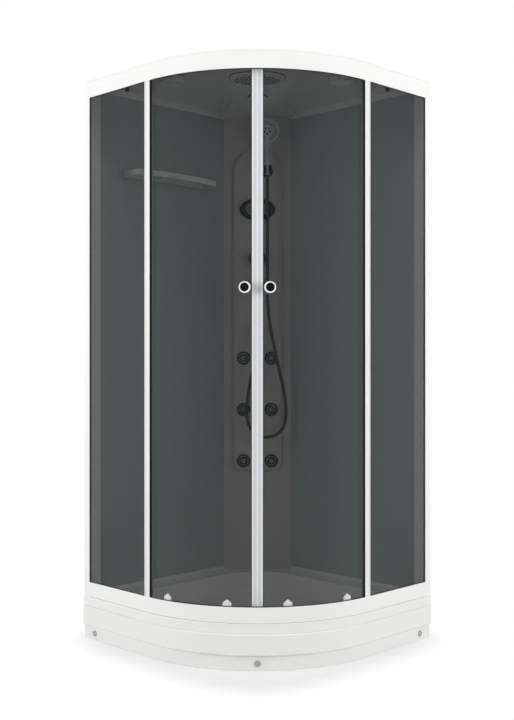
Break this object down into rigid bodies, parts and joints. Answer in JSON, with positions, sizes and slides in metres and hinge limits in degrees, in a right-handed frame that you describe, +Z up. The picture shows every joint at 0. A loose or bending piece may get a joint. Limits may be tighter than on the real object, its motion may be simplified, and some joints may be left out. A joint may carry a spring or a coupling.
{
  "type": "shower cabin",
  "caption": "Quarter-round corner shower cabin with curved sliding glass doors, roof, tray, body jets, hand shower and steam outlet.",
  "frame": {"origin": "on the floor, under the middle of the square that the cabin fills", "axes": "+Z is up, -X faces the left wall and +Y the right wall (seen from the doors), and the doors face +X and -Y"},
  "size_m": [0.95, 0.95, 2.15],
  "materials": {
    "black_chrome": "polished",
    "black_plastic": "gloss",
    "black_rubber": "matte",
    "brass": "satin",
    "chrome": "polished",
    "clear_glass": "clear",
    "drain_plastic": "matte",
    "grey_plastic": "satin",
    "hose_steel": "spiral wound",
    "lamp_lens": "frosted",
    "panel_glass": "back painted",
    "seal_plastic": "satin",
    "white_acrylic": "gloss",
    "white_plastic": "gloss",
    "white_profile": "white powder coat",
    "zinc_steel": "zinc"
  },
  "bodies": {
    "cabin": {"tray": "white_acrylic", "tray_frame": "zinc_steel", "levelling_feet": "zinc_steel", "front_skirt": "white_acrylic", "skirt_screws": "chrome", "drain_trap": "drain_plastic", "left_wall_panel": "panel_glass", "right_wall_panel": "panel_glass", "left_wall_post": "white_profile", "right_wall_post": "white_profile", "corner_column": "white_plastic", "sill_rail": "white_profile", "header_rail": "white_profile", "left_fixed_glass": "clear_glass", "right_fixed_glass": "clear_glass", "glass_edge_profiles": "white_profile", "door_stops": "black_rubber", "roof": "white_acrylic", "shelf": "white_plastic", "rain_head": "grey_plastic", "ceiling_lamp": "lamp_lens", "speaker": "white_plastic", "fan_housing": "white_plastic", "jet_flanges": "black_plastic", "control_panel": "black_plastic", "valve_body": "brass", "hose_outlet": "black_chrome", "supply_pipes": "brass", "steam_generator": "zinc_steel", "steam_outlet": "white_plastic", "shower_holder": "black_plastic", "shower_hose": "hose_steel"},
    "left_door": {"left_door_glass": "clear_glass", "left_door_seals": "seal_plastic", "left_door_knob": "chrome", "left_door_roller_blocks": "white_plastic"},
    "left_door_wheel_top_front": {"left_door_wheel_top_front": "white_plastic"},
    "left_door_wheel_top_rear": {"left_door_wheel_top_rear": "white_plastic"},
    "left_door_wheel_low_front": {"left_door_wheel_low_front": "white_plastic"},
    "left_door_wheel_low_rear": {"left_door_wheel_low_rear": "white_plastic"},
    "right_door": {"right_door_glass": "clear_glass", "right_door_seals": "seal_plastic", "right_door_knob": "chrome", "right_door_roller_blocks": "white_plastic"},
    "right_door_wheel_top_front": {"right_door_wheel_top_front": "white_plastic"},
    "right_door_wheel_top_rear": {"right_door_wheel_top_rear": "white_plastic"},
    "right_door_wheel_low_front": {"right_door_wheel_low_front": "white_plastic"},
    "right_door_wheel_low_rear": {"right_door_wheel_low_rear": "white_plastic"},
    "hand_shower": {"hand_shower": "grey_plastic"},
    "mixer_handle": {"mixer_handle": "black_chrome"},
    "mixer_lever": {"mixer_lever": "black_chrome"},
    "diverter_knob": {"diverter_knob": "black_chrome"},
    "drain_cover": {"drain_cover": "chrome"},
    "fan_wheel": {"fan_wheel": "grey_plastic"},
    "jet_nozzle_1": {"jet_nozzle_1": "black_plastic"},
    "jet_nozzle_2": {"jet_nozzle_2": "black_plastic"},
    "jet_nozzle_3": {"jet_nozzle_3": "black_plastic"},
    "jet_nozzle_4": {"jet_nozzle_4": "black_plastic"},
    "jet_nozzle_5": {"jet_nozzle_5": "black_plastic"},
    "jet_nozzle_6": {"jet_nozzle_6": "black_plastic"}
  },
  "joints": [
    {"name": "left_door_slide", "type": "hinge", "parent": "cabin", "child": "left_door", "pos_m": [-0.09, 0.09, 0], "axis": [0, 0, -1], "range_deg": [0, 24]},
    {"name": "left_door_wheel_top_front_spin", "type": "hinge", "parent": "left_door", "child": "left_door_wheel_top_front", "pos_m": [0.20445, -0.35068, 2.1173], "axis": [0.5556, -0.8315, 0], "continuous": true},
    {"name": "left_door_wheel_top_rear_spin", "type": "hinge", "parent": "left_door", "child": "left_door_wheel_top_rear", "pos_m": [-0.00709, -0.43347, 2.1173], "axis": [0.1564, -0.9877, 0], "continuous": true},
    {"name": "left_door_wheel_low_front_spin", "type": "hinge", "parent": "left_door", "child": "left_door_wheel_low_front", "pos_m": [0.20445, -0.35068, 0.1993], "axis": [0.5556, -0.8315, 0], "continuous": true},
    {"name": "left_door_wheel_low_rear_spin", "type": "hinge", "parent": "left_door", "child": "left_door_wheel_low_rear", "pos_m": [-0.00709, -0.43347, 0.1993], "axis": [0.1564, -0.9877, 0], "continuous": true},
    {"name": "right_door_slide", "type": "hinge", "parent": "cabin", "child": "right_door", "pos_m": [-0.09, 0.09, 0], "axis": [0, 0, 1], "range_deg": [0, 24]},
    {"name": "right_door_wheel_top_front_spin", "type": "hinge", "parent": "right_door", "child": "right_door_wheel_top_front", "pos_m": [0.35068, -0.20445, 2.1173], "axis": [0.8315, -0.5556, 0], "continuous": true},
    {"name": "right_door_wheel_top_rear_spin", "type": "hinge", "parent": "right_door", "child": "right_door_wheel_top_rear", "pos_m": [0.43347, 0.00709, 2.1173], "axis": [0.9877, -0.1564, 0], "continuous": true},
    {"name": "right_door_wheel_low_front_spin", "type": "hinge", "parent": "right_door", "child": "right_door_wheel_low_front", "pos_m": [0.35068, -0.20445, 0.1993], "axis": [0.8315, -0.5556, 0], "continuous": true},
    {"name": "right_door_wheel_low_rear_spin", "type": "hinge", "parent": "right_door", "child": "right_door_wheel_low_rear", "pos_m": [0.43347, 0.00709, 0.1993], "axis": [0.9877, -0.1564, 0], "continuous": true},
    {"name": "hand_shower_lift", "type": "slide", "parent": "cabin", "child": "hand_shower", "axis": [0, 0, 1], "range_m": [0, 0.015]},
    {"name": "mixer_turn", "type": "hinge", "parent": "cabin", "child": "mixer_handle", "pos_m": [-0.35055, 0.35055, 1.511], "axis": [0.7071, -0.7071, 0], "range_deg": [-40, 40]},
    {"name": "mixer_lift", "type": "hinge", "parent": "mixer_handle", "child": "mixer_lever", "pos_m": [-0.33216, 0.33216, 1.511], "axis": [-0.7071, -0.7071, 0], "range_deg": [0, 20]},
    {"name": "diverter_turn", "type": "hinge", "parent": "cabin", "child": "diverter_knob", "pos_m": [-0.35055, 0.35055, 1.394], "axis": [0.7071, -0.7071, 0], "range_deg": [-60, 60]},
    {"name": "drain_cover_lift", "type": "slide", "parent": "cabin", "child": "drain_cover", "axis": [0, 0, 1], "range_m": [0, 0.03]},
    {"name": "fan_spin", "type": "hinge", "parent": "cabin", "child": "fan_wheel", "pos_m": [0.27029, 0.18084, 2.135], "axis": [0, 0, 1], "continuous": true},
    {"name": "jet_nozzle_1_tilt", "type": "hinge", "parent": "cabin", "child": "jet_nozzle_1", "pos_m": [-0.39192, 0.30706, 0.636], "axis": [0.7071, 0.7071, 0], "range_deg": [-12, 12]},
    {"name": "jet_nozzle_2_tilt", "type": "hinge", "parent": "cabin", "child": "jet_nozzle_2", "pos_m": [-0.30706, 0.39192, 0.636], "axis": [0.7071, 0.7071, 0], "range_deg": [-12, 12]},
    {"name": "jet_nozzle_3_tilt", "type": "hinge", "parent": "cabin", "child": "jet_nozzle_3", "pos_m": [-0.39192, 0.30706, 0.858], "axis": [0.7071, 0.7071, 0], "range_deg": [-12, 12]},
    {"name": "jet_nozzle_4_tilt", "type": "hinge", "parent": "cabin", "child": "jet_nozzle_4", "pos_m": [-0.30706, 0.39192, 0.858], "axis": [0.7071, 0.7071, 0], "range_deg": [-12, 12]},
    {"name": "jet_nozzle_5_tilt", "type": "hinge", "parent": "cabin", "child": "jet_nozzle_5", "pos_m": [-0.39192, 0.30706, 1.081], "axis": [0.7071, 0.7071, 0], "range_deg": [-12, 12]},
    {"name": "jet_nozzle_6_tilt", "type": "hinge", "parent": "cabin", "child": "jet_nozzle_6", "pos_m": [-0.30706, 0.39192, 1.081], "axis": [0.7071, 0.7071, 0], "range_deg": [-12, 12]}
  ],
  "couplings": [
    {"joint": "left_door_wheel_top_front_spin", "follows": "left_door_slide", "ratio": 58.889},
    {"joint": "left_door_wheel_top_rear_spin", "follows": "left_door_slide", "ratio": 58.889},
    {"joint": "left_door_wheel_low_front_spin", "follows": "left_door_slide", "ratio": 58.889},
    {"joint": "left_door_wheel_low_rear_spin", "follows": "left_door_slide", "ratio": 58.889},
    {"joint": "right_door_wheel_top_front_spin", "follows": "right_door_slide", "ratio": -58.889},
    {"joint": "right_door_wheel_top_rear_spin", "follows": "right_door_slide", "ratio": -58.889},
    {"joint": "right_door_wheel_low_front_spin", "follows": "right_door_slide", "ratio": -58.889},
    {"joint": "right_door_wheel_low_rear_spin", "follows": "right_door_slide", "ratio": -58.889}
  ]
}
